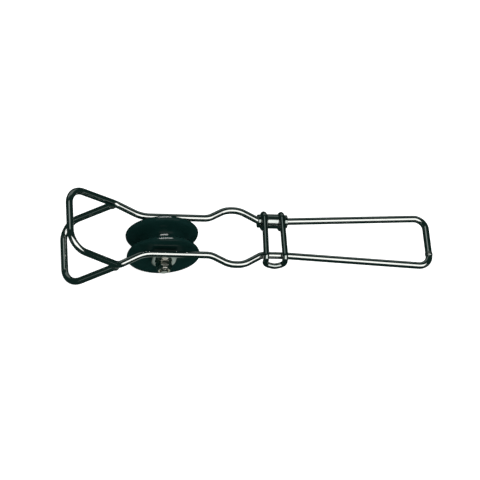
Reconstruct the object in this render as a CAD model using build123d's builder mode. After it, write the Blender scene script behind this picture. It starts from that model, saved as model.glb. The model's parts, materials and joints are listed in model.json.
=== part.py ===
from build123d import *
import math
import os

# Single sheave block: a sheave carried between two plate lugs that hang from a bent wire
# frame.  One end of the frame is a long closed loop, the other is a pair of bails that
# splay up and down, and a wire latch swings on one arm and closes over the other.
#
# Millimetres.  The origin is the centre of the sheave, its axle lies along Y, the frame
# runs along X and the plane of the frame lies above the axle, towards +Z.

# ---------------------------------------------------------------- driving dimensions
sheave_diameter = 50.0
sheave_width = 18.0
groove_root_diameter = 29.0
groove_mouth = 12.0
groove_root_width = 6.0
groove_root_radius = 3.8
rim_inner_radius = 3.0
rim_outer_radius = 0.6
hub_diameter = 17.0
hub_stand_out = 0.8

wire_diameter = 4.8
frame_height = 13.5

end_bar_x = 184.4
end_half_width = 18.8
end_bend = 8.0
flare_x = 82.0
flare_bend = 60.0
waist_x = 65.6
waist_half_width = 13.3
waist_bend = 7.0
bulge_right_x = 52.4
bulge_left_x = 42.8
bulge_stand_out = 6.8
bulge_bend = 16.0
straight_right_x = 30.5
straight_right_bend = 12.0
straight_left_x = -15.8
straight_left_bend = 22.0
junction_x = -33.3
junction_half_width = 23.7
junction_bend = 8.0

upper_bail_x = -67.9
upper_bail_z = 36.6
upper_bail_half_width = 22.7
lower_bail_x = -65.4
lower_bail_z = -18.3
lower_bail_half_width = 24.0
bail_bend = 13.0
bail_root_setback = 1.2

lug_thickness = 2.5
lug_half_width = 8.5
lug_under_wire = 1.2
lug_top_below_wire_centre = 0.6

bolt_diameter = 6.0
bolt_tip_stand_out = 1.0
bolt_clearance = 0.05
hex_across_flats = 10.0
bolt_head_height = 4.0
nut_height = 6.0
nut_hex_height = 4.4
insert_height = 1.3
insert_outer_diameter = 7.6
washer_diameter = 12.0
washer_thickness = 1.0

sleeve_diameter = 8.0
bush_diameter = 12.0
bush_clearance = 0.05
thrust_washer_diameter = 15.0
thrust_washer_thickness = 0.6
thrust_clearance = 0.1

latch_wire_diameter = 4.0
latch_x = 75.0
latch_half_spacing = 6.1
latch_eye_clearance = 0.4
latch_eye_turn = 286.0
latch_bar_outside_arm = 7.1
latch_bar_below_frame = 2.4
latch_bend = 3.9
latch_corner = 3.2
spacer_diameter = 10.0
spacer_clearance = 0.1
collar_diameter = 9.2
collar_width = 2.0
latch_end_play = 0.2

junction_weld_rise = 0.6
end_weld_rise = 0.35
end_weld_from_corner = 9.4
end_weld_length = 3.2
weld_seat_clearance = 0.01
lug_weld_radius = 1.3
lug_weld_length = 13.0

# ---------------------------------------------------------------- derived dimensions
wire_r = wire_diameter / 2
latch_r = latch_wire_diameter / 2
sheave_r = sheave_diameter / 2
sheave_half = sheave_width / 2
hub_half = sheave_half + hub_stand_out
lug_inner_y = hub_half + thrust_clearance + thrust_washer_thickness
lug_outer_y = lug_inner_y + lug_thickness
arm_half_width = lug_outer_y - lug_under_wire + wire_r
bulge_half_width = arm_half_width + bulge_stand_out
washer_outer_y = lug_outer_y + washer_thickness
nut_outer_y = washer_outer_y + nut_height
bore_r = bolt_diameter / 2 + bolt_clearance
eye_mean_r = wire_r + latch_eye_clearance + latch_r
end_weld_y = -(end_half_width - end_weld_from_corner)
latch_leg_z = frame_height + eye_mean_r
latch_bar_y = -waist_half_width - latch_bar_outside_arm
latch_bar_z = frame_height - latch_bar_below_frame
# the two bends of a latch leg share its drop to the cross bar
latch_bend_share = min(1, 0.99 * (latch_leg_z - latch_bar_z) / (latch_bend + latch_corner))
eye_outer_x = latch_half_spacing + latch_r + latch_end_play
spacer_half_length = latch_half_spacing - latch_r - latch_end_play

os.makedirs("parts", exist_ok=True)


def save(builder, name):
    """Label a finished sub-part and write it as its own STEP file."""
    builder.part.label = name
    export_step(builder.part, f"parts/{name}.step")


def ring(inner_r, outer_r, y_from, y_to):
    """A plain ring about the axle between two stations along Y."""
    with BuildPart() as made:
        with BuildSketch(Plane.XZ.offset(-y_from)):
            Circle(outer_r)
            Circle(inner_r, mode=Mode.SUBTRACT)
        extrude(amount=-(y_to - y_from))
    return made


# ---------------------------------------------------------------- frame wire
# One closed loop.  Half of it is swept from the middle of the end bar to the middle of
# the upper bail, and the other half mirrors it.
with BuildPart() as frame_wire:
    with BuildLine() as half_loop:
        FilletPolyline(
            (end_bar_x, 0, frame_height),
            (end_bar_x, end_half_width, frame_height),
            (flare_x, waist_half_width, frame_height),
            (waist_x, waist_half_width, frame_height),
            (bulge_right_x, bulge_half_width, frame_height),
            (bulge_left_x, bulge_half_width, frame_height),
            (straight_right_x, arm_half_width, frame_height),
            (straight_left_x, arm_half_width, frame_height),
            (junction_x, junction_half_width, frame_height),
            (upper_bail_x, upper_bail_half_width, upper_bail_z),
            (upper_bail_x, 0, upper_bail_z),
            radius=(
                end_bend,
                flare_bend,
                waist_bend,
                bulge_bend,
                bulge_bend,
                straight_right_bend,
                straight_left_bend,
                junction_bend,
                bail_bend,
            ),
        )
    with BuildSketch(Plane((end_bar_x, 0, frame_height), z_dir=(0, 1, 0))):
        Circle(wire_r)
    sweep(path=half_loop.wires()[0])
    mirror(about=Plane.XZ)
save(frame_wire, "frame_wire")

# ---------------------------------------------------------------- lower bail
# A U of the same wire whose two ends are coped to the underside of the frame wire.
junction = Vector(junction_x, junction_half_width, frame_height)
lower_corner = Vector(lower_bail_x, lower_bail_half_width, lower_bail_z)
lower_leg_direction = (lower_corner - junction).normalized()
lower_leg_start = junction + lower_leg_direction * bail_root_setback

with BuildPart() as lower_bail:
    with BuildLine() as half_bail:
        FilletPolyline(
            lower_leg_start,
            lower_corner,
            (lower_bail_x, 0, lower_bail_z),
            radius=(bail_bend,),
        )
    with BuildSketch(Plane(lower_leg_start, z_dir=lower_leg_direction)):
        Circle(wire_r)
    sweep(path=half_bail.wires()[0])
    mirror(about=Plane.XZ)
    add(frame_wire.part, mode=Mode.SUBTRACT)
save(lower_bail, "lower_bail")

# Weld bead round each end of the lower bail: a ball on the leg, cut off square where it
# would stand out on the far side of the frame wire.
bead_r = wire_r + junction_weld_rise
bead_centre = junction + lower_leg_direction * (wire_r + 0.3)
bead_back = 0.6 * wire_r
with BuildPart() as junction_welds:
    with Locations(bead_centre):
        Sphere(bead_r)
    split(bisect_by=Plane(junction + lower_leg_direction * bead_back, z_dir=lower_leg_direction))
    mirror(about=Plane.XZ)
    add(frame_wire.part, mode=Mode.SUBTRACT)
    add(lower_bail.part, mode=Mode.SUBTRACT)
save(junction_welds, "junction_welds")

# Butt-weld bead that closes the loop, a ring on the straight of the end bar near one corner.
with BuildPart() as end_weld:
    with BuildSketch(Plane((end_bar_x, end_weld_y, frame_height), x_dir=(0, 1, 0), z_dir=(1, 0, 0))):
        with BuildLine():
            half_bead = end_weld_length / 2
            seat_r = wire_r + weld_seat_clearance
            Line((-half_bead, seat_r), (half_bead, seat_r))
            ThreePointArc((half_bead, seat_r), (0, wire_r + end_weld_rise), (-half_bead, seat_r))
        make_face()
    revolve(axis=Axis((end_bar_x, 0, frame_height), (0, 1, 0)))
save(end_weld, "end_weld")

# ---------------------------------------------------------------- lugs
# Each lug is a plate with a round lower end about the axle; its top edge is coped to the
# inner side of the frame wire and welded there.
lug_top_z = frame_height - lug_top_below_wire_centre


def make_lug(side):
    """The lug on one side of the sheave; side is -1 for the near one, +1 for the far."""
    with BuildPart() as lug:
        with BuildSketch(Plane.XZ.offset(-side * lug_inner_y)):
            Circle(lug_half_width)
            with Locations((0, lug_top_z / 2)):
                Rectangle(2 * lug_half_width, lug_top_z)
            Circle(bore_r, mode=Mode.SUBTRACT)
        extrude(amount=-side * lug_thickness)
        add(frame_wire.part, mode=Mode.SUBTRACT)
    return lug


lug_near = make_lug(-1)
save(lug_near, "lug_near")
lug_far = make_lug(1)
save(lug_far, "lug_far")

# Fillet weld under the wire along the outer face of each lug.
lug_weld_y = lug_outer_y + lug_weld_radius / 3
lug_weld_z = frame_height - wire_r - lug_weld_radius / 3
with BuildPart() as lug_welds:
    for side in (-1, 1):
        with Locations((0, side * lug_weld_y, lug_weld_z)):
            Cylinder(lug_weld_radius, lug_weld_length, rotation=(0, 90, 0))
    fillet(lug_welds.edges().filter_by(GeomType.CIRCLE), lug_weld_radius * 0.8)
    for fixed in (frame_wire, lug_near, lug_far):
        add(fixed.part, mode=Mode.SUBTRACT)
save(lug_welds, "lug_welds")

# ---------------------------------------------------------------- axle
# Hex bolt with its head on the far side, washers outside both lugs and a lock nut near.
bolt_tip_y = nut_outer_y + bolt_tip_stand_out
tip_chamfer = 0.8
with BuildPart() as axle_bolt:
    with BuildSketch(Plane.XZ.offset(-washer_outer_y)):
        RegularPolygon(hex_across_flats / 2, 6, major_radius=False)
    extrude(amount=-bolt_head_height)
    with BuildSketch(Plane.XZ.offset(-washer_outer_y)):
        Circle(bolt_diameter / 2)
    extrude(amount=washer_outer_y + bolt_tip_y)
    tip_edge = axle_bolt.edges().filter_by(GeomType.CIRCLE).sort_by(Axis.Y)[0]
    chamfer(tip_edge, tip_chamfer)
    # the corners of the head are turned down to a 30 degree cone
    head_top_y = washer_outer_y + bolt_head_height
    with BuildSketch(Plane.YZ) as head_cone:
        with BuildLine():
            corner_r = hex_across_flats * 0.6
            Polyline(
                (head_top_y, hex_across_flats / 2 * 0.95),
                (head_top_y, corner_r),
                (head_top_y - (corner_r - hex_across_flats / 2 * 0.95) * 0.577, corner_r),
                close=True,
            )
        make_face()
    revolve(axis=Axis.Y, mode=Mode.SUBTRACT)
save(axle_bolt, "axle_bolt")

head_washer = ring(bore_r, washer_diameter / 2, lug_outer_y, washer_outer_y)
save(head_washer, "head_washer")
nut_washer = ring(bore_r, washer_diameter / 2, -washer_outer_y, -lug_outer_y)
save(nut_washer, "nut_washer")

# Lock nut: a hexagon with a round collar that holds a nylon ring.
nut_thread_clearance = 0.02
collar_r = hex_across_flats / 2 - 0.4
insert_r = insert_outer_diameter / 2
insert_back_y = -(nut_outer_y - 0.4)
with BuildPart() as lock_nut:
    with BuildSketch(Plane.XZ.offset(washer_outer_y)):
        RegularPolygon(hex_across_flats / 2, 6, major_radius=False)
    extrude(amount=nut_hex_height)
    with BuildSketch(Plane.XZ.offset(washer_outer_y)):
        Circle(collar_r)
    extrude(amount=nut_height)
    fillet(lock_nut.edges().filter_by(GeomType.CIRCLE).sort_by(Axis.Y)[0], 0.7)
    with BuildSketch(Plane.XZ.offset(washer_outer_y)):
        Circle(bolt_diameter / 2 + nut_thread_clearance)
    extrude(amount=nut_height, mode=Mode.SUBTRACT)
    with BuildSketch(Plane.XZ.offset(-insert_back_y - insert_height)):
        Circle(insert_r)
    extrude(amount=insert_height, mode=Mode.SUBTRACT)
save(lock_nut, "lock_nut")

lock_nut_insert = ring(
    bolt_diameter / 2 + nut_thread_clearance, insert_r, insert_back_y, insert_back_y + insert_height
)
save(lock_nut_insert, "lock_nut_insert")

axle_sleeve = ring(bore_r, sleeve_diameter / 2, -lug_inner_y, lug_inner_y)
save(axle_sleeve, "axle_sleeve")

# ---------------------------------------------------------------- sheave
# The roundings at the groove's lip and floor are limited by the flats beside them.
groove_lean = math.atan2((groove_mouth - groove_root_width) / 2, sheave_r - groove_root_diameter / 2)
half_turn = (math.pi / 2 - groove_lean) / 2
rim_flat = sheave_half - groove_mouth / 2 - rim_outer_radius
groove_lip_radius = min(rim_inner_radius, 0.96 * rim_flat / math.tan(half_turn))
groove_floor_radius = min(groove_root_radius, 0.96 * groove_root_width / 2 / math.tan(half_turn))


def is_groove_lip(corner):
    """True at the two corners of the sheave's outline where the groove opens at the rim."""
    return abs(corner.Y - sheave_r) < 0.01 and abs(abs(corner.X) - groove_mouth / 2) < 0.01


def is_groove_floor(corner):
    """True at the two corners of the sheave's outline at the bottom of the groove."""
    return abs(corner.Y - groove_root_diameter / 2) < 0.01


with BuildPart() as sheave:
    with BuildSketch(Plane.YZ) as sheave_profile:
        with BuildLine():
            Polyline(
                (-hub_half, bush_diameter / 2),
                (-hub_half, hub_diameter / 2),
                (-sheave_half, hub_diameter / 2),
                (-sheave_half, sheave_r),
                (-groove_mouth / 2, sheave_r),
                (-groove_root_width / 2, groove_root_diameter / 2),
                (groove_root_width / 2, groove_root_diameter / 2),
                (groove_mouth / 2, sheave_r),
                (sheave_half, sheave_r),
                (sheave_half, hub_diameter / 2),
                (hub_half, hub_diameter / 2),
                (hub_half, bush_diameter / 2),
                close=True,
            )
        make_face()
        rim_corners = sheave_profile.vertices().group_by(Axis.Y)[-1].sort_by(Axis.X)
        fillet([rim_corners[0], rim_corners[3]], rim_outer_radius)
        fillet(sheave_profile.vertices().filter_by(is_groove_lip), groove_lip_radius)
        fillet(sheave_profile.vertices().filter_by(is_groove_floor), groove_floor_radius)
    revolve(axis=Axis.Y)
save(sheave, "sheave")

sheave_bush = ring(sleeve_diameter / 2 + bush_clearance, bush_diameter / 2, -hub_half, hub_half)
save(sheave_bush, "sheave_bush")

thrust_bore_r = sleeve_diameter / 2 + bush_clearance
thrust_inner_y = lug_inner_y - thrust_washer_thickness
thrust_washer_near = ring(thrust_bore_r, thrust_washer_diameter / 2, -lug_inner_y, -thrust_inner_y)
save(thrust_washer_near, "thrust_washer_near")
thrust_washer_far = ring(thrust_bore_r, thrust_washer_diameter / 2, thrust_inner_y, lug_inner_y)
save(thrust_washer_far, "thrust_washer_far")

# ---------------------------------------------------------------- latch
# A U of lighter wire.  Each leg starts in an eye round the far arm, runs over the near
# arm and turns down to the cross bar outside it.
leg_x = latch_x - latch_half_spacing
eye_centre = Vector(leg_x, waist_half_width, frame_height)
eye_top = eye_centre + Vector(0, 0, eye_mean_r)
eye_end = eye_centre + Vector(0, 0, eye_mean_r).rotate(Axis.X, -latch_eye_turn)
eye_middle = eye_centre + Vector(0, 0, eye_mean_r).rotate(Axis.X, -latch_eye_turn / 2)

with BuildPart() as latch_wire:
    with BuildLine() as half_latch:
        eye_arc = ThreePointArc(eye_end, eye_middle, eye_top)
        FilletPolyline(
            eye_top,
            (leg_x, latch_bar_y, latch_leg_z),
            (leg_x, latch_bar_y, latch_bar_z),
            (latch_x, latch_bar_y, latch_bar_z),
            radius=(latch_bend * latch_bend_share, latch_corner * latch_bend_share),
        )
    with BuildSketch(Plane(eye_end, z_dir=eye_arc % 0)):
        Circle(latch_r)
    sweep(path=half_latch.wires()[0])
    mirror(about=Plane.YZ.offset(latch_x))
save(latch_wire, "latch_wire")


def along_arm(inner_r, outer_r, x_from, x_to):
    """A ring or a disc round the far arm between two stations along X."""
    with BuildPart() as made:
        with BuildSketch(Plane.YZ.offset(x_from)):
            with Locations((waist_half_width, frame_height)):
                Circle(outer_r)
                if inner_r:
                    Circle(inner_r, mode=Mode.SUBTRACT)
        extrude(amount=x_to - x_from)
    return made


# Spacer tube that keeps the two eyes apart and turns freely on the arm.
latch_spacer = along_arm(
    wire_r + spacer_clearance,
    spacer_diameter / 2,
    latch_x - spacer_half_length,
    latch_x + spacer_half_length,
)
save(latch_spacer, "latch_spacer")

# Stop collars outside the eyes, bored to the wire and tacked to it.
for side, collar_name in ((-1, "stop_collar_bulge_side"), (1, "stop_collar_loop_side")):
    inner_x = latch_x + side * eye_outer_x
    outer_x = inner_x + side * collar_width
    with BuildPart() as stop_collar:
        add(along_arm(0, collar_diameter / 2, min(inner_x, outer_x), max(inner_x, outer_x)).part)
        fillet(stop_collar.edges().filter_by(GeomType.CIRCLE), collar_width / 6)
        add(frame_wire.part, mode=Mode.SUBTRACT)
    save(stop_collar, collar_name)
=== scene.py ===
import json
import math

import bmesh
import bpy
from mathutils import Matrix, Vector, noise


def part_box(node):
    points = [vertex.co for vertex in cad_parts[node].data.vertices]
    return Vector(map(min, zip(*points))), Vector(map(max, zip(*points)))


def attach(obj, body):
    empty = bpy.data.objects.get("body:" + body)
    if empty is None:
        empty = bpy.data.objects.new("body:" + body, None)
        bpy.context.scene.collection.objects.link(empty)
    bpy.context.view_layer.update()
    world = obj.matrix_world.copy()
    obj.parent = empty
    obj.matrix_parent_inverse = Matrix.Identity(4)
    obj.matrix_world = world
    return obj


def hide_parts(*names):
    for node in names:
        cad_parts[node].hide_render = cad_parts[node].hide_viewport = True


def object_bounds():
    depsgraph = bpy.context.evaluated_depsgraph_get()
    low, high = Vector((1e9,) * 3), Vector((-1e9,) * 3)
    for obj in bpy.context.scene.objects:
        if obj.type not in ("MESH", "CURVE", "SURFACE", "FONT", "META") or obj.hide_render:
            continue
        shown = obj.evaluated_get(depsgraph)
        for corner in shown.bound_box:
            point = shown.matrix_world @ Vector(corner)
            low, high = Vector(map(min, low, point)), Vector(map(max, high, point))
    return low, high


# Single sheave block.  Metres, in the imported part's own frame: the origin is the centre of
# the sheave, +X runs to the closed end loop and +Y along the axle to the bolt head.

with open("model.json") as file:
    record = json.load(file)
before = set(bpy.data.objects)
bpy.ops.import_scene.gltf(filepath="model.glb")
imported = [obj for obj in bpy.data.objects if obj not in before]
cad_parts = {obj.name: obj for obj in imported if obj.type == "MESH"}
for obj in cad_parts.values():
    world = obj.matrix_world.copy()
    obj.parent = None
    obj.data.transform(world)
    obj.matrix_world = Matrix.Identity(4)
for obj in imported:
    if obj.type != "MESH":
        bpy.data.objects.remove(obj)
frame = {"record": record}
cad_low, cad_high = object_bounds()

MM = 0.001
UV_MAP = "along_and_round"
mounts = {mount["name"]: mount for mount in frame["record"]["mounts"]}
joints = {joint["name"]: joint for joint in frame["record"]["behaviour"]["joints"]}


# ---------------------------------------------------------------- sizes read from the frame
def extent(node, axis):
    """Where a node starts and ends along one axis of the row."""
    low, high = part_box(node)
    return low[axis], high[axis]


def half_extent(node, axis):
    low, high = extent(node, axis)
    return (high - low) / 2


X, Y, Z = 0, 1, 2
ORIGIN = Vector((0, 0, 0))
end_bar = Vector(mounts["end_bar"]["pos_m"])
upper_bar = Vector(mounts["upper_bail_bar"]["pos_m"])
lower_bar = Vector(mounts["lower_bail_bar"]["pos_m"])
latch_hinge = Vector(joints["latch_swing"]["pos_m"])
wire_r = mounts["end_bar"]["dims"]["r_mm"] * MM
frame_z = end_bar.z
waist_half_width = latch_hinge.y
lug_inner_y, lug_outer_y = extent("lug_far", Y)

# Corners and bends of the frame wire that the frame's boxes don't give.
END_HALF_WIDTH, END_BEND = 18.8 * MM, 8 * MM
FLARE_X, FLARE_BEND = 82 * MM, 60 * MM
WAIST_X, WAIST_BEND = 65.6 * MM, 7 * MM
BULGE_RIGHT_X, BULGE_LEFT_X, BULGE_BEND = 52.4 * MM, 42.8 * MM, 16 * MM
BULGE_STAND_OUT = 6.8 * MM
STRAIGHT_RIGHT_X, STRAIGHT_RIGHT_BEND = 30.5 * MM, 12 * MM
STRAIGHT_LEFT_X, STRAIGHT_LEFT_BEND = -15.8 * MM, 22 * MM
JUNCTION_X, JUNCTION_HALF_WIDTH, JUNCTION_BEND = -33.3 * MM, 23.7 * MM, 8 * MM
UPPER_BAIL_HALF_WIDTH, LOWER_BAIL_HALF_WIDTH, BAIL_BEND = 22.7 * MM, 24 * MM, 13 * MM
BAIL_ROOT_SETBACK = 1.2 * MM
LUG_UNDER_WIRE = 1.2 * MM
arm_half_width = lug_outer_y - LUG_UNDER_WIRE + wire_r
bulge_half_width = arm_half_width + BULGE_STAND_OUT

# The latch's own wire and bends.
LATCH_HALF_SPACING = 6.1 * MM
latch_r = half_extent("latch_wire", X) - LATCH_HALF_SPACING
LATCH_BEND, LATCH_CORNER, LATCH_BAR_BEND = 3.9 * MM, 3.0 * MM, 6.0 * MM
LATCH_BOW, LATCH_LEAN, LATCH_SPLAY = 1.6 * MM, 0.02, 0.016
LATCH_EYE_TURN = math.radians(286)
LATCH_EYE_CLEARANCE, LATCH_BAR_DROP = 0.4 * MM, 2.4 * MM
LATCH_END_ROUNDING = 0.5 * MM

ROUND_SIDES = 48
TURNED_SIDES = 96
ARC_STEP = math.radians(4)


# ---------------------------------------------------------------- routes and sections
def bend_points(before, corner, after, bend, step=ARC_STEP):
    """The points of the arc that rounds one corner of a route."""
    back = (before - corner).normalized()
    ahead = (after - corner).normalized()
    turn = math.pi - back.angle(ahead)
    centre = corner + (back + ahead).normalized() * (bend / math.cos(turn / 2))
    spoke = corner + back * (bend * math.tan(turn / 2)) - centre
    turn_axis = spoke.cross(-back)
    steps = max(2, round(turn / step))
    return [centre + Matrix.Rotation(turn * k / steps, 3, turn_axis) @ spoke for k in range(steps + 1)]


def bent_route(corners, bends, run_step=5 * MM):
    """Points along a route of straight runs, each inner corner rounded to its bend radius."""
    stops = [[corners[0]]]
    for place in zip(corners, corners[1:], corners[2:], bends):
        stops.append(bend_points(*place))
    stops.append([corners[-1]])
    points = [corners[0].copy()]
    for stop in stops[1:]:
        start = points[-1]
        steps = max(1, round((stop[0] - start).length / run_step))
        points += [start.lerp(stop[0], k / steps) for k in range(1, steps + 1)]
        points += stop[1:]
    return points


def mirrored(points, axis, plane=0.0):
    """The same route in a mirror across one axis, in reverse order."""
    flipped = [point.copy() for point in reversed(points)]
    for point in flipped:
        point[axis] = 2 * plane - point[axis]
    return flipped


def rounded_section(corners, step=math.radians(18)):
    """(radius, station) pairs round a closed section, from (radius, station, rounding) corners."""
    section = []
    places = [Vector((r, s, 0)) for r, s, _ in corners]
    for i, (r, s, rounding) in enumerate(corners):
        if not rounding:
            section.append((r, s))
            continue
        after = places[(i + 1) % len(places)]
        section += [(p.x, p.y) for p in bend_points(places[i - 1], places[i], after, rounding, step)]
    return section


# ---------------------------------------------------------------- meshes
def skin(rings, along, around, wrap=False):
    """Vertices, faces and UVs of a skin over rings of points.  UVs are metres along and round."""
    count = len(rings[0])
    vertices = [point for ring in rings for point in ring]
    faces, uvs = [], []
    for i in range(len(rings) if wrap else len(rings) - 1):
        j = (i + 1) % len(rings)
        u0, u1 = along[i], along[i + 1]
        for k in range(count):
            m = (k + 1) % count
            faces.append((i * count + k, i * count + m, j * count + m, j * count + k))
            v0, v1 = around * k / count, around * (k + 1) / count
            uvs.append(((u0, v0), (u0, v1), (u1, v1), (u1, v0)))
    if not wrap:
        for start, end_u in ((0, along[0]), ((len(rings) - 1) * count, along[-1])):
            faces.append(tuple(range(start, start + count)))
            uvs.append([(end_u, around * k / count) for k in range(count)])
    return vertices, faces, uvs


def make_piece(name, skins, body, slot, material, *nodes, sharp=math.radians(35)):
    """One object from one or more skins: it rides on a body and stands for CAD nodes."""
    vertices, faces, uvs = [], [], []
    for part_vertices, part_faces, part_uvs in skins:
        first = len(vertices)
        vertices += part_vertices
        faces += [tuple(first + k for k in face) for face in part_faces]
        uvs += part_uvs
    mesh = bpy.data.meshes.new(name)
    mesh.from_pydata(vertices, [], faces)
    layer = mesh.uv_layers.new(name=UV_MAP)
    for polygon, corners in zip(mesh.polygons, uvs):
        for loop, uv in zip(polygon.loop_indices, corners):
            layer.data[loop].uv = uv
    shell = bmesh.new()
    shell.from_mesh(mesh)
    bmesh.ops.recalc_face_normals(shell, faces=shell.faces)
    shell.to_mesh(mesh)
    shell.free()
    mesh.shade_smooth()
    mesh.set_sharp_from_angle(angle=sharp)
    mesh.materials.append(material)
    piece = bpy.data.objects.new(name, mesh)
    bpy.context.scene.collection.objects.link(piece)
    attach(piece, body)
    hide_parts(*nodes)
    return piece


def rod_skin(points, radius, closed=False, end_rounding=0.0, swell=None):
    """A round rod along a route.  swell(distance, angle) scales its radius."""
    count = len(points)
    distances = [0.0]
    for a, b in zip(points, points[1:]):
        distances.append(distances[-1] + (b - a).length)
    if closed:
        distances.append(distances[-1] + (points[0] - points[-1]).length)
    tangents = []
    for i in range(count):
        before = points[i - 1] if closed or i else points[i]
        after = points[(i + 1) % count] if closed or i < count - 1 else points[i]
        tangents.append((after - before).normalized())
    across = tangents[0].orthogonal().normalized()
    sides = [across]
    for before, after in zip(tangents, tangents[1:]):
        across = before.rotation_difference(after) @ across
        across = (across - after * across.dot(after)).normalized()
        sides.append(across)
    twist = 0.0
    if closed:
        arrived = tangents[-1].rotation_difference(tangents[0]) @ sides[-1]
        twist = arrived.angle(sides[0])
        if arrived.cross(sides[0]).dot(tangents[0]) < 0:
            twist = -twist
    stations = [(points[i], i, distances[i], radius) for i in range(count)]
    if end_rounding:
        length = distances[-1]
        inner = [s for s in stations if end_rounding * 1.1 < s[2] < length - end_rounding * 1.1]
        start, end = [], []
        steps = 5
        for k in range(steps + 1):
            lean = math.pi / 2 * k / steps
            drop = end_rounding * (1 - math.cos(lean))
            r = radius - end_rounding * (1 - math.sin(lean))
            start.append((points[0] + tangents[0] * drop, 0, drop, r))
            end.insert(0, (points[-1] - tangents[-1] * drop, count - 1, length - drop, r))
        stations = start + inner + end
    rings = []
    for centre, i, distance, r in stations:
        side, up = sides[i], tangents[i].cross(sides[i])
        turned_by = twist * distance / distances[-1]
        ring = []
        for k in range(ROUND_SIDES):
            angle = 2 * math.pi * k / ROUND_SIDES + turned_by
            reach = r * (swell(distance, angle) if swell else 1)
            ring.append(centre + (side * math.cos(angle) + up * math.sin(angle)) * reach)
        rings.append(ring)
    along = [s[2] for s in stations] + ([distances[-1]] if closed else [])
    return skin(rings, along, 2 * math.pi * radius, wrap=closed)


def turned_skin(section, centre=ORIGIN, axis=Y, reach=None, wrap=True):
    """A piece turned about an axis.  reach(radius, station, angle) may cut it out of round."""
    rings, along = [], [0.0]
    last = section[0]
    for radius, station in section:
        ring = []
        for k in range(TURNED_SIDES):
            angle = 2 * math.pi * k / TURNED_SIDES
            r = reach(radius, station, angle) if reach else radius
            a, b = r * math.cos(angle), r * math.sin(angle)
            offset = (a, station, b) if axis == Y else (station, a, b)
            ring.append(centre + Vector(offset))
        rings.append(ring)
        along.append(along[-1] + math.dist(last, (radius, station)))
        last = (radius, station)
    along = along[1:] + [along[-1] + math.dist(last, section[0])]
    widest = max(radius for radius, _ in section)
    return skin(rings, along, 2 * math.pi * widest, wrap=wrap)


def ring_section(inner_r, outer_r, start, end, edge, bore_edge=0.0):
    """The section of a plain ring with rounded edges."""
    bore_edge = bore_edge or edge
    return rounded_section(
        [
            (inner_r, start, bore_edge),
            (outer_r, start, edge),
            (outer_r, end, edge),
            (inner_r, end, bore_edge),
        ]
    )


def bead_skin(centre, along, radius, scales, scale_height, seed):
    """A lump of weld metal about a direction, with the overlapping scales of a hand-run bead."""
    side = along.orthogonal().normalized()
    up = along.cross(side)
    steps = 28
    rings = []
    for i in range(1, steps):
        tilt = math.pi * i / steps
        ring = []
        for k in range(ROUND_SIDES):
            angle = 2 * math.pi * k / ROUND_SIDES
            spoke = side * math.cos(angle) + up * math.sin(angle)
            direction = along * math.cos(tilt) + spoke * math.sin(tilt)
            phase = (angle / (2 * math.pi) * scales + 0.8 * math.sin(tilt)) % 1
            ripple = scale_height * (phase**0.6 - 1) * math.sin(tilt) ** 2
            lump = scale_height * 0.9 * noise.noise(direction * 2.2 + Vector((seed, 0, 0)))
            ring.append(centre + direction * (radius + ripple + min(lump, 0)))
        rings.append(ring)
    lengths = [radius * math.pi * i / steps for i in range(1, steps)]
    return skin(rings, lengths, 2 * math.pi * radius)


# ---------------------------------------------------------------- shader nodes
def add_node(tree, kind, inputs=None, **settings):
    """A node with its settings; inputs are values, or the sockets that feed them."""
    made = tree.nodes.new(kind)
    for name, value in settings.items():
        setattr(made, name, value)
    for name, value in (inputs or {}).items():
        if isinstance(value, bpy.types.NodeSocket):
            tree.links.new(value, made.inputs[name])
        else:
            made.inputs[name].default_value = value
    return made


def calc(tree, operation, a, b=0.0, clamp=False):
    return add_node(tree, "ShaderNodeMath", {0: a, 1: b}, operation=operation, use_clamp=clamp).outputs[0]


def remap(tree, value, low, high, to_low, to_high):
    inputs = {"Value": value, "From Min": low, "From Max": high, "To Min": to_low, "To Max": to_high}
    return add_node(tree, "ShaderNodeMapRange", inputs).outputs["Result"]


def mix_colour(tree, factor, a, b, blend="MIX"):
    node = add_node(tree, "ShaderNodeMix", {0: factor, 6: a, 7: b}, data_type="RGBA", blend_type=blend)
    return node.outputs[2]


def noise_value(tree, vector, scale, detail=2.0, roughness=0.5):
    inputs = {"Vector": vector, "Scale": scale, "Detail": detail, "Roughness": roughness}
    return add_node(tree, "ShaderNodeTexNoise", inputs).outputs["Fac"]


def object_place(tree):
    return add_node(tree, "ShaderNodeTexCoord").outputs["Object"]


def new_group(name, inputs, outputs):
    """An empty shader node group with named float inputs and outputs."""
    group = bpy.data.node_groups.new(name, "ShaderNodeTree")
    for label, value in inputs.items():
        socket = group.interface.new_socket(name=label, in_out="INPUT", socket_type="NodeSocketFloat")
        socket.default_value = value
    for label in outputs:
        group.interface.new_socket(name=label, in_out="OUTPUT", socket_type="NodeSocketFloat")
    return group, group.nodes.new("NodeGroupInput").outputs, group.nodes.new("NodeGroupOutput").inputs


def build_tool_lines():
    """Fine lines left by drawing, turning or brushing, stretched along or round the piece."""
    group, given, out = new_group("tool_lines", {"Along": 100.0, "Round": 9000.0}, ("Height", "Streak"))
    uv = add_node(group, "ShaderNodeUVMap", uv_map=UV_MAP).outputs[0]
    scale = add_node(group, "ShaderNodeCombineXYZ", {0: given["Along"], 1: given["Round"]}).outputs[0]
    place = add_node(group, "ShaderNodeVectorMath", {0: uv, 1: scale}, operation="MULTIPLY").outputs[0]
    fine = noise_value(group, place, 1.0, 3.0, 0.6)
    broad = noise_value(group, place, 0.17, 2.0)
    group.links.new(calc(group, "MULTIPLY", fine, broad), out["Height"])
    group.links.new(remap(group, broad, 0.4, 0.68, 0, 1), out["Streak"])
    return group


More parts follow.
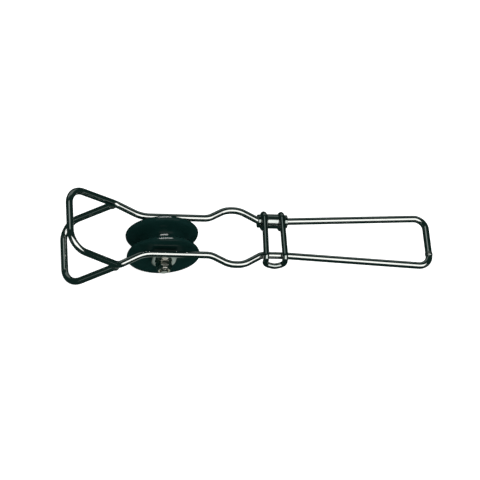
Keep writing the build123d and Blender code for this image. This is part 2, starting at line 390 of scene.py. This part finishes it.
def build_handling_marks():
    """Smudges from handling and sparse scratches from use."""
    group, given, out = new_group("handling_marks", {"Size": 120.0, "Scratches": 1.0}, ("Smudge", "Scratch"))
    place = object_place(group)
    cloudy = noise_value(group, place, given["Size"], 4.0, 0.62)
    group.links.new(remap(group, cloudy, 0.45, 0.72, 0, 1), out["Smudge"])
    lines = []
    for turn, stretch in ((0.5, (260.0, 2600.0, 900.0)), (-0.9, (2300.0, 240.0, 700.0))):
        inputs = {"Vector": place, "Rotation": (0.3, turn, turn), "Scale": stretch}
        turned = add_node(group, "ShaderNodeMapping", inputs).outputs[0]
        line = noise_value(group, turned, 1.0, 1.0)
        lines.append(remap(group, line, 0.73, 0.78, 0, 1))
    both = calc(group, "MAXIMUM", *lines)
    group.links.new(calc(group, "MULTIPLY", both, given["Scratches"], clamp=True), out["Scratch"])
    return group


def build_edges_and_creases():
    """Masks of the worn outer edges, and of the creases where the materials paint shade."""
    group, given, out = new_group("edges_and_creases", {"Sharpness": 14.0}, ("Edge", "Crease"))
    point = add_node(group, "ShaderNodeNewGeometry").outputs["Pointiness"]
    bent = calc(group, "MULTIPLY", calc(group, "SUBTRACT", point, 0.5), given["Sharpness"])
    patchy = remap(group, noise_value(group, object_place(group), 900.0, 3.0), 0.35, 0.65, 0.35, 1)
    group.links.new(calc(group, "MULTIPLY", bent, patchy, clamp=True), out["Edge"])
    group.links.new(calc(group, "MULTIPLY", bent, -1.0, clamp=True), out["Crease"])
    return group


def build_waviness():
    """The slight unevenness that hand polishing leaves."""
    group, given, out = new_group("waviness", {"Size": 160.0}, ("Height",))
    group.links.new(noise_value(group, object_place(group), given["Size"], 1.5, 0.4), out["Height"])
    return group


def build_grain():
    """A fine even grain for moulded and cast surfaces."""
    group, given, out = new_group("grain", {"Size": 2500.0}, ("Height", "Fleck"))
    grain = noise_value(group, object_place(group), given["Size"], 3.0, 0.6)
    group.links.new(grain, out["Height"])
    group.links.new(remap(group, grain, 0.35, 0.7, 0, 1), out["Fleck"])
    return group


tool_lines = build_tool_lines()
handling_marks = build_handling_marks()
edges_and_creases = build_edges_and_creases()
waviness = build_waviness()
grain = build_grain()


def use(tree, group, **values):
    """Places a node group in a material with its own values; returns its outputs."""
    made = tree.nodes.new("ShaderNodeGroup")
    made.node_tree = group
    for name, value in values.items():
        made.inputs[name].default_value = value
    return made.outputs


def new_material(name, **constants):
    """A material whose Principled shader has these constants on its own sockets."""
    material = bpy.data.materials.new(name)
    material.use_nodes = True
    tree = material.node_tree
    shader = tree.nodes["Principled BSDF"]
    for label, value in constants.items():
        shader.inputs[label.replace("_", " ")].default_value = value
    return material, tree, shader


def bump(tree, shader, height, distance, strength=1.0):
    inputs = {"Height": height, "Distance": distance, "Strength": strength}
    normal = add_node(tree, "ShaderNodeBump", inputs).outputs["Normal"]
    tree.links.new(normal, shader.inputs["Normal"])


SCRATCH_DEPTH = 0.0016 * MM


def steel(name, colour, roughness, lines, line_depth, wave=0.000012, wear=0.25):
    """Stainless steel: tool lines, a little waviness, smudges, scratches, bright edges and painted shade in
    the creases.
    """
    material, tree, shader = new_material(name, Metallic=1.0)
    marks = use(tree, handling_marks, Size=140.0, Scratches=0.6)
    edges = use(tree, edges_and_creases, Sharpness=10.0)
    line = use(tree, tool_lines, Along=lines[0], Round=lines[1])
    dull = tuple(c * 0.86 for c in colour)
    bright = tuple(min(1.0, c * 1.1) for c in colour)
    shade = mix_colour(tree, calc(tree, "MULTIPLY", marks["Smudge"], 0.5), (*colour, 1), (*dull, 1))
    shade = mix_colour(tree, calc(tree, "MULTIPLY", edges["Edge"], wear), shade, (*bright, 1))
    # Painted shade: the creases are darkened towards a dim copy of the steel colour.
    painted_crease_shade = (colour[0] * 0.25, colour[1] * 0.27, colour[2] * 0.24, 1)
    shade = mix_colour(tree, calc(tree, "MULTIPLY", edges["Crease"], 0.6), shade, painted_crease_shade)
    tree.links.new(shade, shader.inputs["Base Color"])
    rough = calc(tree, "MULTIPLY_ADD", marks["Smudge"], 0.05)
    rough.node.inputs[2].default_value = roughness
    rough = calc(tree, "ADD", rough, calc(tree, "MULTIPLY", line["Streak"], 0.03))
    rough = calc(tree, "ADD", rough, calc(tree, "MULTIPLY", marks["Scratch"], 0.14), clamp=True)
    tree.links.new(rough, shader.inputs["Roughness"])
    uneven = calc(tree, "MULTIPLY", use(tree, waviness, Size=170.0)["Height"], wave / MM)
    fine = calc(tree, "MULTIPLY", line["Height"], line_depth / MM)
    dents = calc(tree, "MULTIPLY", marks["Scratch"], -SCRATCH_DEPTH / MM)
    bump(tree, shader, calc(tree, "ADD", calc(tree, "ADD", uneven, fine), dents), MM)
    return material


def weld_steel():
    """Weld metal left as run: grainy, grey, with straw and blue heat colours and painted shade in its
    creases.
    """
    material, tree, shader = new_material("weld_metal_as_run", Metallic=1.0)
    pits = use(tree, grain, Size=1900.0)
    marks = use(tree, handling_marks, Size=420.0, Scratches=0.2)
    edges = use(tree, edges_and_creases, Sharpness=8.0)
    shade = mix_colour(tree, marks["Smudge"], (0.74, 0.75, 0.72, 1), (0.60, 0.57, 0.50, 1))
    shade = mix_colour(tree, calc(tree, "MULTIPLY", pits["Fleck"], 0.35), shade, (0.16, 0.19, 0.22, 1))
    # Painted shade: the creases between the bead's scales are darkened nearly to black.
    shade = mix_colour(tree, calc(tree, "MULTIPLY", edges["Crease"], 0.8), shade, (0.05, 0.05, 0.045, 1))
    tree.links.new(shade, shader.inputs["Base Color"])
    tree.links.new(remap(tree, pits["Height"], 0.3, 0.7, 0.24, 0.40), shader.inputs["Roughness"])
    bump(tree, shader, pits["Height"], 0.00006)
    return material


def moulded_plastic():
    """Glossy black plastic, turned in the groove, with rope polish and a few scratches."""
    material, tree, shader = new_material("sheave_moulded_black", IOR=1.46, Specular_IOR_Level=0.08)
    marks = use(tree, handling_marks, Size=90.0, Scratches=0.7)
    edges = use(tree, edges_and_creases, Sharpness=7.0)
    line = use(tree, tool_lines, Along=5200.0, Round=45.0)
    speck = use(tree, grain, Size=3200.0)
    base = mix_colour(tree, marks["Smudge"], (0.0040, 0.0190, 0.0165, 1), (0.0060, 0.0240, 0.0220, 1))
    base = mix_colour(tree, calc(tree, "MULTIPLY", edges["Edge"], 0.35), base, (0.02, 0.035, 0.035, 1))
    base = mix_colour(tree, calc(tree, "MULTIPLY", marks["Scratch"], 0.3), base, (0.03, 0.045, 0.045, 1))
    tree.links.new(base, shader.inputs["Base Color"])
    rough = remap(tree, marks["Smudge"], 0, 1, 0.09, 0.15)
    rough = calc(tree, "ADD", rough, calc(tree, "MULTIPLY", marks["Scratch"], 0.2))
    rough = calc(tree, "ADD", rough, calc(tree, "MULTIPLY", line["Streak"], 0.05), clamp=True)
    tree.links.new(rough, shader.inputs["Roughness"])
    fine = calc(tree, "MULTIPLY", line["Height"], 0.0009)
    mottle = calc(tree, "MULTIPLY", speck["Height"], 0.0004)
    bump(tree, shader, calc(tree, "ADD", fine, mottle), MM)
    return material


def dull_plastic(name, colour, roughness, tint):
    """Natural plastic such as acetal or nylon, faintly see-through and rubbed, with painted shade in its
    creases.
    """
    material, tree, shader = new_material(name, IOR=1.48, Subsurface_Weight=0.15, Subsurface_Scale=0.001)
    marks = use(tree, handling_marks, Size=300.0, Scratches=0.5)
    speck = use(tree, grain, Size=2800.0)
    edges = use(tree, edges_and_creases, Sharpness=8.0)
    base = mix_colour(tree, marks["Smudge"], (*colour, 1), (*tint, 1))
    # Painted shade: the creases are darkened towards a dim copy of the tint.
    painted_crease_shade = tuple(c * 0.35 for c in tint)
    base = mix_colour(tree, calc(tree, "MULTIPLY", edges["Crease"], 0.7), base, (*painted_crease_shade, 1))
    tree.links.new(base, shader.inputs["Base Color"])
    high = roughness + 0.12
    tree.links.new(remap(tree, speck["Fleck"], 0, 1, roughness, high), shader.inputs["Roughness"])
    bump(tree, shader, speck["Height"], 0.00001)
    return material


def sintered_bronze():
    """Oiled sintered bronze: fine pores and a darker oil film."""
    material, tree, shader = new_material("bush_sintered_bronze", Metallic=1.0)
    pores = use(tree, grain, Size=4200.0)
    marks = use(tree, handling_marks, Size=380.0, Scratches=0.4)
    base = mix_colour(tree, marks["Smudge"], (0.50, 0.33, 0.15, 1), (0.26, 0.17, 0.08, 1))
    base = mix_colour(tree, calc(tree, "MULTIPLY", pores["Fleck"], 0.4), base, (0.12, 0.08, 0.04, 1))
    tree.links.new(base, shader.inputs["Base Color"])
    tree.links.new(remap(tree, pores["Height"], 0.3, 0.7, 0.22, 0.42), shader.inputs["Roughness"])
    bump(tree, shader, pores["Height"], 0.00002)
    return material


drawn_wire = steel("drawn_wire_polished", (0.66, 0.67, 0.65), 0.07, (70.0, 7000.0), 0.0000009)
latch_steel = steel("latch_wire_polished", (0.46, 0.50, 0.48), 0.10, (90.0, 7500.0), 0.0000012)
plate_steel = steel("lug_plate_polished", (0.62, 0.65, 0.62), 0.09, (5000.0, 60.0), 0.0000010, wear=0.5)
turned_steel = steel("turned_steel", (0.56, 0.59, 0.57), 0.12, (9000.0, 30.0), 0.0000016, wear=0.5)
collar_steel = steel("collar_steel", (0.36, 0.40, 0.38), 0.08, (9000.0, 30.0), 0.0000012, wear=0.5)
fastener_steel = steel("fastener_steel", (0.66, 0.65, 0.60), 0.13, (7000.0, 60.0), 0.0000014, wear=0.6)
weld_metal = weld_steel()
sheave_plastic = moulded_plastic()
acetal = dull_plastic("acetal_natural", (0.72, 0.71, 0.66), 0.35, (0.62, 0.60, 0.52))
nylon = dull_plastic("nylon_natural", (0.60, 0.56, 0.42), 0.32, (0.50, 0.44, 0.30))
bronze = sintered_bronze()


# ---------------------------------------------------------------- frame wire and bails
def build_frame_wire():
    half_loop = bent_route(
        [
            end_bar,
            Vector((end_bar.x, END_HALF_WIDTH, frame_z)),
            Vector((FLARE_X, waist_half_width, frame_z)),
            Vector((WAIST_X, waist_half_width, frame_z)),
            Vector((BULGE_RIGHT_X, bulge_half_width, frame_z)),
            Vector((BULGE_LEFT_X, bulge_half_width, frame_z)),
            Vector((STRAIGHT_RIGHT_X, arm_half_width, frame_z)),
            Vector((STRAIGHT_LEFT_X, arm_half_width, frame_z)),
            Vector((JUNCTION_X, JUNCTION_HALF_WIDTH, frame_z)),
            Vector((upper_bar.x, UPPER_BAIL_HALF_WIDTH, upper_bar.z)),
            upper_bar,
        ],
        (
            END_BEND,
            FLARE_BEND,
            WAIST_BEND,
            BULGE_BEND,
            BULGE_BEND,
            STRAIGHT_RIGHT_BEND,
            STRAIGHT_LEFT_BEND,
            JUNCTION_BEND,
            BAIL_BEND,
        ),
    )
    loop = half_loop + mirrored(half_loop, Y)[1:-1]
    skins = [rod_skin(loop, wire_r, closed=True)]
    make_piece("frame_rod", skins, "frame", "stainless_wire", drawn_wire, "frame_wire")


junction = Vector((JUNCTION_X, JUNCTION_HALF_WIDTH, frame_z))
lower_corner = Vector((lower_bar.x, LOWER_BAIL_HALF_WIDTH, lower_bar.z))
lower_leg = (lower_corner - junction).normalized()


def build_lower_bail():
    half_bail = bent_route([junction + lower_leg * BAIL_ROOT_SETBACK, lower_corner, lower_bar], (BAIL_BEND,))
    route = half_bail + mirrored(half_bail, Y)[1:]
    skins = [rod_skin(route, wire_r)]
    make_piece("lower_bail_rod", skins, "frame", "stainless_wire", drawn_wire, "lower_bail")


BEAD_SETBACK, BEAD_RISE, BEAD_SCALE_HEIGHT = 0.3 * MM, 0.6 * MM, 0.28 * MM


def build_junction_beads():
    """A bead round each root of the lower bail, its scales run round the leg."""
    skins = []
    for side in (1, -1):
        centre = junction + lower_leg * (wire_r + BEAD_SETBACK)
        leg = lower_leg.copy()
        centre.y *= side
        leg.y *= side
        skins.append(bead_skin(centre, leg, wire_r + BEAD_RISE, 13, BEAD_SCALE_HEIGHT, 5.0 + side))
    make_piece("junction_beads", skins, "frame", "weld_metal", weld_metal, "junction_welds")


def build_end_bead():
    """The butt weld in the end bar: a low rippled ring."""
    start, end = extent("end_weld", Y)
    foot_r = wire_r - 0.05 * MM
    rise = half_extent("end_weld", X) - foot_r
    scales, scale_lean, scale_height, run_in = 15, 0.8, 0.09 * MM, 0.2 * MM
    steps = 26
    section = []
    for i in range(steps + 1):
        share = i / steps
        swell = math.sin(math.pi * share) ** 0.6
        section.append((foot_r + rise * swell, start + (end - start) * share))

    def ripple(radius, station, angle):
        across = (station - start) / (end - start)
        scale = (angle / (2 * math.pi) * scales + across * scale_lean) % 1
        fade = min(1.0, max(0.0, radius - wire_r) / run_in)
        return radius - scale_height * scale * fade

    centre = Vector((end_bar.x, 0, frame_z))
    skins = [turned_skin(section, centre, reach=ripple, wrap=False)]
    make_piece("end_bead", skins, "frame", "weld_metal", weld_metal, "end_weld")


# ---------------------------------------------------------------- lugs
lug_half_width = half_extent("lug_far", X)
lug_top = extent("lug_far", Z)[1]
RUNNING_CLEARANCE = 0.05 * MM
bolt_r = 3.0 * MM
bore_r = bolt_r + RUNNING_CLEARANCE


def lug_reach(radius, station, angle):
    """Carries the lug's round end up into straight sides and a square top."""
    if radius < lug_half_width - 2 * MM:
        return radius
    c, s = abs(math.cos(angle)), math.sin(angle)
    outline = lug_half_width
    if s > 0:
        outline = min(lug_half_width / max(c, 1e-6), lug_top / s)
    return outline - (lug_half_width - radius)


def build_lugs():
    for name, node, low, high in (
        ("lug_near_plate", "lug_near", -lug_outer_y, -lug_inner_y),
        ("lug_far_plate", "lug_far", lug_inner_y, lug_outer_y),
    ):
        section = ring_section(bore_r, lug_half_width, low, high, 0.35 * MM, 0.2 * MM)
        skins = [turned_skin(section, reach=lug_reach)]
        make_piece(name, skins, "frame", "stainless_plate", plate_steel, node)


def build_lug_beads():
    """A fillet weld under the wire along the outside of each lug, run in short scales."""
    length = 2 * half_extent("lug_welds", X)
    radius = 1.3 * MM
    bead_y = lug_outer_y + radius / 3
    bead_z = frame_z - wire_r - radius / 3
    steps = 104
    skins = []
    for side in (-1, 1):
        rings, along = [], []
        for i in range(steps + 1):
            share = i / steps
            taper = (1 - (2 * share - 1) ** 8) ** 0.5 if 0 < share < 1 else 0.05
            scale = (share * 14) % 1
            swell = taper * (1 - 0.13 * scale)
            centre = Vector((length * (share - 0.5), side * bead_y, bead_z))
            ring = []
            for k in range(24):
                angle = 2 * math.pi * k / 24
                arc = radius * swell * (1 + 0.05 * noise.noise(centre * 900 + Vector((angle, 0, side))))
                ring.append(centre + Vector((0, math.cos(angle), math.sin(angle))) * arc)
            rings.append(ring)
            along.append(length * share)
        skins.append(skin(rings, along, 2 * math.pi * radius))
    make_piece("lug_beads", skins, "frame", "weld_metal", weld_metal, "lug_welds")


# ---------------------------------------------------------------- axle
HEX_APOTHEM = half_extent("lock_nut", Z)
HEX_CORNER_R = HEX_APOTHEM / math.cos(math.radians(30)) - 0.08 * MM
CHAMFER_SLOPE = math.tan(math.radians(30))
THREAD_PITCH, THREAD_DEPTH = 1.0 * MM, 0.5 * MM
NUT_HEX_HEIGHT, NUT_COLLAR_STEP, COLLAR_ROLL = 4.4 * MM, 0.4 * MM, 0.7 * MM


def hexagon(angle):
    """Distance from the middle to the side of a hexagon with flats above and below."""
    from_flat = (angle - math.pi / 2 + math.radians(30)) % math.radians(60) - math.radians(30)
    return min(HEX_APOTHEM / math.cos(from_flat), HEX_CORNER_R)


def hex_cut(radius, station, angle):
    return min(radius, hexagon(angle))


def chamfer_run(start_r, end_r, start, end, steps=8):
    """Section points down a turned chamfer, close enough to cut a crisp curve on each flat."""
    return [
        (start_r + (end_r - start_r) * k / steps, start + (end - start) * k / steps)
        for k in range(steps + 1)
    ]


def build_bolt():
    tip, head_top = extent("axle_bolt", Y)
    seat = extent("head_washer", Y)[1]
    corner = HEX_APOTHEM * 1.2
    fall = (corner - HEX_APOTHEM * 0.94) * CHAMFER_SLOPE
    thread_end = -lug_inner_y
    head = [(0.02 * MM, head_top), (HEX_APOTHEM * 0.9, head_top)]
    head += chamfer_run(HEX_APOTHEM * 0.94, corner, head_top, head_top - fall)
    head += [(corner, seat + 0.12 * MM), (HEX_APOTHEM * 0.97, seat), (bolt_r + 0.3 * MM, seat)]
    shank = [(bolt_r, seat - 0.1 * MM), (bolt_r, thread_end)]
    turns = 90
    thread = [(bolt_r, thread_end + (tip + 0.8 * MM - thread_end) * k / turns) for k in range(1, turns + 1)]
    point = [(bolt_r - 0.25 * MM, tip + 0.5 * MM), (bolt_r - 0.75 * MM, tip + 0.04 * MM)]
    point += [(bolt_r - 0.9 * MM, tip), (0.02 * MM, tip + 0.05 * MM)]

    def cut(radius, station, angle):
        if station > seat - 0.05 * MM:
            return min(radius, hexagon(angle))
        if station < thread_end and abs(radius - bolt_r) < 0.01 * MM:
            phase = (station / THREAD_PITCH + angle / (2 * math.pi)) % 1
            run_in = min(1.0, (thread_end - station) / THREAD_PITCH)
            return radius - THREAD_DEPTH * abs(2 * phase - 1) * run_in
        return radius

    skins = [turned_skin(head + shank + thread + point, reach=cut, wrap=False)]
    make_piece("hex_bolt", skins, "frame", "stainless_fastener", fastener_steel, "axle_bolt")


def build_washers():
    for name, node in (("washer_under_head", "head_washer"), ("washer_under_nut", "nut_washer")):
        section = ring_section(bore_r, half_extent(node, X), *extent(node, Y), 0.22 * MM)
        make_piece(name, [turned_skin(section)], "frame", "stainless_fastener", fastener_steel, node)


def build_lock_nut():
    """A hexagon with a chamfer each end and a rolled collar that grips the nylon ring."""
    outer, inner = extent("lock_nut", Y)
    hex_end = inner - NUT_HEX_HEIGHT
    collar_r = HEX_APOTHEM - NUT_COLLAR_STEP
    thread_r = bolt_r + 0.02 * MM
    insert_r = half_extent("lock_nut_insert", X)
    insert_top, insert_foot = extent("lock_nut_insert", Y)
    corner = HEX_APOTHEM * 1.2
    fall = (corner - HEX_APOTHEM * 0.95) * CHAMFER_SLOPE
    section = [(thread_r, inner - 0.3 * MM), (thread_r + 0.35 * MM, inner), (HEX_APOTHEM * 0.93, inner)]
    section += chamfer_run(HEX_APOTHEM * 0.95, corner, inner, inner - fall)
    upper_fall = (corner - collar_r) * CHAMFER_SLOPE
    section += chamfer_run(corner, collar_r + 0.15 * MM, hex_end + upper_fall, hex_end)
    section += [(collar_r, hex_end - 0.12 * MM), (collar_r, outer + COLLAR_ROLL)]
    steps = 8
    for k in range(1, steps + 1):
        lean = math.pi / 2 * k / steps
        rolled_r = collar_r - COLLAR_ROLL * (1 - math.cos(lean))
        section.append((rolled_r, outer + COLLAR_ROLL * (1 - math.sin(lean))))
    section += [(insert_r - 0.25 * MM, outer + 0.05 * MM), (insert_r - 0.3 * MM, insert_top)]
    section += [(insert_r, insert_top), (insert_r, insert_foot), (thread_r, insert_foot)]
    skins = [turned_skin(section, reach=hex_cut)]
    make_piece("lock_nut_body", skins, "frame", "stainless_fastener", fastener_steel, "lock_nut")
    ring = ring_section(thread_r, insert_r - 0.01 * MM, insert_top, insert_foot, 0.2 * MM)
    skins = [turned_skin(ring)]
    make_piece("lock_nut_ring", skins, "frame", "nylon_insert", nylon, "lock_nut_insert")


def build_bearing():
    """The sleeve that the lugs clamp, and a washer each side of the sheave."""
    sleeve_r = half_extent("axle_sleeve", X)
    running_r = sleeve_r + RUNNING_CLEARANCE
    skins = [turned_skin(ring_section(bore_r, sleeve_r, *extent("axle_sleeve", Y), 0.25 * MM))]
    make_piece("axle_tube", skins, "frame", "stainless_fastener", turned_steel, "axle_sleeve")
    for name, node in (
        ("thrust_ring_near", "thrust_washer_near"),
        ("thrust_ring_far", "thrust_washer_far"),
    ):
        section = ring_section(running_r, half_extent(node, X), *extent(node, Y), 0.15 * MM)
        make_piece(name, [turned_skin(section)], "frame", "acetal_washer", acetal, node)
    bush_r = half_extent("sheave_bush", X)
    section = ring_section(running_r, bush_r, *extent("sheave_bush", Y), 0.3 * MM)
    make_piece("bush_ring", [turned_skin(section)], "sheave", "bush_bronze", bronze, "sheave_bush")


HUB_R, HUB_STAND_OUT = 8.5 * MM, 0.8 * MM
GROOVE_ROOT_R, GROOVE_FLOOR_HALF, GROOVE_MOUTH_HALF = 14.5 * MM, 3 * MM, 6 * MM


def build_sheave():
    """Half of the section, as corners with their rounding radii, then the same in a mirror."""
    rim_r = half_extent("sheave", X)
    hub_half = half_extent("sheave", Y)
    half = hub_half - HUB_STAND_OUT
    bush_r = half_extent("sheave_bush", X)
    near = [
        (bush_r, hub_half, 0.3 * MM),
        (HUB_R, hub_half, 0.35 * MM),
        (HUB_R, half, 0.3 * MM),
        (rim_r, half, 0.6 * MM),
        (rim_r, GROOVE_MOUTH_HALF, 3.0 * MM),
        (GROOVE_ROOT_R, GROOVE_FLOOR_HALF, 3.8 * MM),
    ]
    far = [(r, -station, rounding) for r, station, rounding in reversed(near)]
    section = rounded_section(near + far, step=math.radians(6))
    skins = [turned_skin(section)]
    make_piece("grooved_sheave", skins, "sheave", "sheave_plastic", sheave_plastic, "sheave")


# ---------------------------------------------------------------- latch
def build_latch():
    """Two eyes round the arm, two legs that lean and splay a little, and a bowed bar between them."""
    eye_r = wire_r + LATCH_EYE_CLEARANCE + latch_r
    start_x = extent("latch_wire", X)[0] + latch_r
    bar_y = extent("latch_wire", Y)[0] + latch_r
    bar_z = frame_z - LATCH_BAR_DROP
    centre = Vector((start_x, waist_half_width, frame_z))
    top = centre + Vector((0, 0, eye_r))
    steps = round(LATCH_EYE_TURN / ARC_STEP)
    eye = [
        centre + Matrix.Rotation(-LATCH_EYE_TURN * (1 - k / steps), 3, "X") @ Vector((0, 0, eye_r))
        for k in range(steps)
    ]
    leg = [top, Vector((start_x, bar_y + LATCH_BOW, top.z)), Vector((start_x, bar_y + LATCH_BOW, bar_z))]
    corners = leg + [Vector((latch_hinge.x, bar_y, bar_z))] + mirrored(leg, X, latch_hinge.x)
    for corner in corners:
        outward = (corner.x - latch_hinge.x) / (latch_hinge.x - start_x)
        corner.x += (LATCH_SPLAY * outward - LATCH_LEAN) * (top.y - corner.y)
    bends = (LATCH_BEND, LATCH_CORNER, LATCH_BAR_BEND, LATCH_CORNER, LATCH_BEND)
    legs = bent_route(corners, bends, run_step=3 * MM)
    route = eye + legs + mirrored(eye, X, latch_hinge.x)
    skins = [rod_skin(route, latch_r, end_rounding=LATCH_END_ROUNDING)]
    make_piece("latch_rod", skins, "latch", "latch_wire", latch_steel, "latch_wire")


def build_latch_rings():
    """The spacer between the eyes and the stop collars outside them."""
    on_arm = Vector((0, waist_half_width, frame_z))
    spacer_r = half_extent("latch_spacer", Y)
    section = ring_section(wire_r + 0.1 * MM, spacer_r, *extent("latch_spacer", X), 0.35 * MM, 0.2 * MM)
    skins = [turned_skin(section, on_arm, X)]
    make_piece("spacer_tube", skins, "spacer", "stainless_collar", turned_steel, "latch_spacer")
    for name, node in (
        ("collar_bulge_side", "stop_collar_bulge_side"),
        ("collar_loop_side", "stop_collar_loop_side"),
    ):
        section = ring_section(wire_r - 0.3 * MM, half_extent(node, Z), *extent(node, X), 0.3 * MM)
        skins = [turned_skin(section, on_arm, X)]
        make_piece(name, skins, "frame", "stainless_collar", collar_steel, node)


build_frame_wire()
build_lower_bail()
build_junction_beads()
build_end_bead()
build_lugs()
build_lug_beads()
build_bolt()
build_washers()
build_lock_nut()
build_bearing()
build_sheave()
build_latch()
build_latch_rings()


# ---------------------------------------------------------------- studio
AZIMUTH, ELEVATION, ROLL = math.radians(-22.51), math.radians(59.35), math.radians(21.12)
CAMERA_DISTANCE, LENS, SENSOR = 1.4676, 159.6, 36
AIM_X, AIM_LEFT, AIM_UP = 60.0 * MM, 5.80 * MM, 4.95 * MM

# Unit vector from the block to the camera.
back = Vector(
    (
        math.sin(AZIMUTH) * math.cos(ELEVATION),
        -math.cos(AZIMUTH) * math.cos(ELEVATION),
        math.sin(ELEVATION),
    )
)


def build_camera():
    level = Vector((math.cos(AZIMUTH), math.sin(AZIMUTH), 0))
    above = back.cross(level)
    right = level * math.cos(ROLL) + above * math.sin(ROLL)
    up = above * math.cos(ROLL) - level * math.sin(ROLL)
    target = Vector((AIM_X, 0, 0)) - right * AIM_LEFT + up * AIM_UP
    camera = bpy.data.objects.new("studio_camera", bpy.data.cameras.new("studio_camera"))
    camera.data.lens = LENS
    camera.data.sensor_width = SENSOR
    camera.data.clip_start, camera.data.clip_end = 0.05, 20
    axes = Matrix((right, up, back)).transposed().to_4x4()
    camera.matrix_world = Matrix.Translation(target + back * CAMERA_DISTANCE) @ axes
    bpy.context.scene.collection.objects.link(camera)
    bpy.context.scene.camera = camera


def build_lamp(name, direction, distance, width, height, radiance, colour=(1, 1, 1)):
    """A flat soft lamp of a given brightness, facing the block, its width level along the block."""
    lamp = bpy.data.lights.new(name, "AREA")
    lamp.shape = "RECTANGLE"
    lamp.size, lamp.size_y = width, height
    lamp.energy = radiance * math.pi * width * height
    lamp.color = colour
    stand = bpy.data.objects.new(name, lamp)
    place = direction.normalized() * distance
    facing = direction.normalized()
    along_block = Vector((1, 0, 0))
    across = (along_block - facing * along_block.dot(facing)).normalized()
    axes = Matrix((across, facing.cross(across), facing)).transposed().to_4x4()
    stand.matrix_world = Matrix.Translation(place) @ axes
    bpy.context.scene.collection.objects.link(stand)
    return stand


def build_lights():
    """Lamps by name, direction, distance, width, height, brightness and colour."""
    warm_white, cool_white = (1.0, 1.0, 0.985), (0.85, 0.95, 0.93)
    front = Vector((-back.x, back.y, back.z))
    build_lamp("big_panel", front, 2.2, 2.9, 1.95, 1.55, warm_white)
    for name, direction, width, height, radiance in (
        ("rear_strip", (-0.25, 0.47, 0.86), 1.3, 0.45, 0.36),
        ("back_panel", (0.0, 0.92, 0.38), 3.2, 1.3, 0.15),
        ("right_strip", (0.88, -0.45, 0.14), 0.5, 0.5, 0.20),
        ("left_strip", (-0.86, -0.47, 0.20), 0.5, 0.5, 0.20),
    ):
        build_lamp(name, Vector(direction), 2.4, width, height, radiance, cool_white)
    build_sheave_glint()


def build_sheave_glint():
    """A lamp that shines on the sheave alone, for the glint in its groove and on its rims."""
    glint = build_lamp("groove_glint", Vector((0.03, 0.47, 0.86)), 2.0, 1.3, 1.1, 60.0)
    glint.visible_diffuse = False
    sheave_only = bpy.data.collections.new("sheave_only")
    sheave_only.objects.link(bpy.data.objects["grooved_sheave"])
    glint.light_linking.receiver_collection = sheave_only


DARK_SURROUND = (0.0085, 0.0230, 0.0195, 1)
PALE_PATCH = (0.36, 0.42, 0.39, 1)
PATCH_CENTRE, PATCH_INNER_R, PATCH_OUTER_R = (6.5 * MM, -29 * MM, 0.0), 8 * MM, 14 * MM


def build_world():
    """White behind the block; dark green-grey where polished metal looks away from the lamps."""
    world = bpy.data.worlds.new("studio_surroundings")
    bpy.context.scene.world = world
    world.use_nodes = True
    tree = world.node_tree
    paths = add_node(tree, "ShaderNodeLightPath")
    shade = mix_colour(tree, paths.outputs["Is Diffuse Ray"], DARK_SURROUND, (0.55, 0.56, 0.56, 1))
    shade = mix_colour(tree, paths.outputs["Is Camera Ray"], shade, (1, 1, 1, 1))
    tree.links.new(shade, tree.nodes["Background"].inputs["Color"])


FLOOR_REACH, FLOOR_GAP = 6.0, 0.2 * MM


def build_floor():
    """A pale floor.  Reflections see it dark, but for a pale patch below the near lug."""
    reach = FLOOR_REACH
    corners = [(-reach, -reach), (reach, -reach), (reach, reach), (-reach, reach)]
    mesh = bpy.data.meshes.new("studio_floor")
    mesh.from_pydata([(x, y, 0) for x, y in corners], [], [(0, 1, 2, 3)])
    floor = bpy.data.objects.new("studio_floor", mesh)
    floor.location.z = cad_low.z - FLOOR_GAP
    bpy.context.scene.collection.objects.link(floor)
    material = bpy.data.materials.new("pale_floor")
    material.use_nodes = True
    tree = material.node_tree
    tree.nodes.remove(tree.nodes["Principled BSDF"])
    paths = add_node(tree, "ShaderNodeLightPath")
    place = add_node(tree, "ShaderNodeTexCoord").outputs["Object"]
    middle = add_node(tree, "ShaderNodeVectorMath", {0: place, 1: PATCH_CENTRE}, operation="DISTANCE")
    near = remap(tree, middle.outputs["Value"], PATCH_INNER_R, PATCH_OUTER_R, 1, 0)
    patch = mix_colour(tree, near, DARK_SURROUND, PALE_PATCH)
    dark = add_node(tree, "ShaderNodeEmission", {"Color": patch}).outputs[0]
    matt = add_node(tree, "ShaderNodeBsdfDiffuse", {"Color": (0.8, 0.8, 0.8, 1)}).outputs[0]
    lift = add_node(tree, "ShaderNodeEmission", {"Color": (1, 1, 1, 1), "Strength": 0.72}).outputs[0]
    seen = add_node(tree, "ShaderNodeAddShader", {0: matt, 1: lift}).outputs[0]
    mixed = matt
    for ray, shade in (("Is Glossy Ray", dark), ("Is Camera Ray", seen)):
        mixed = add_node(tree, "ShaderNodeMixShader", {0: paths.outputs[ray], 1: mixed, 2: shade}).outputs[0]
    tree.links.new(mixed, tree.nodes["Material Output"].inputs["Surface"])
    mesh.materials.append(material)


build_camera()
build_lights()
build_world()
build_floor()
bpy.context.scene.view_settings.view_transform = "Standard"
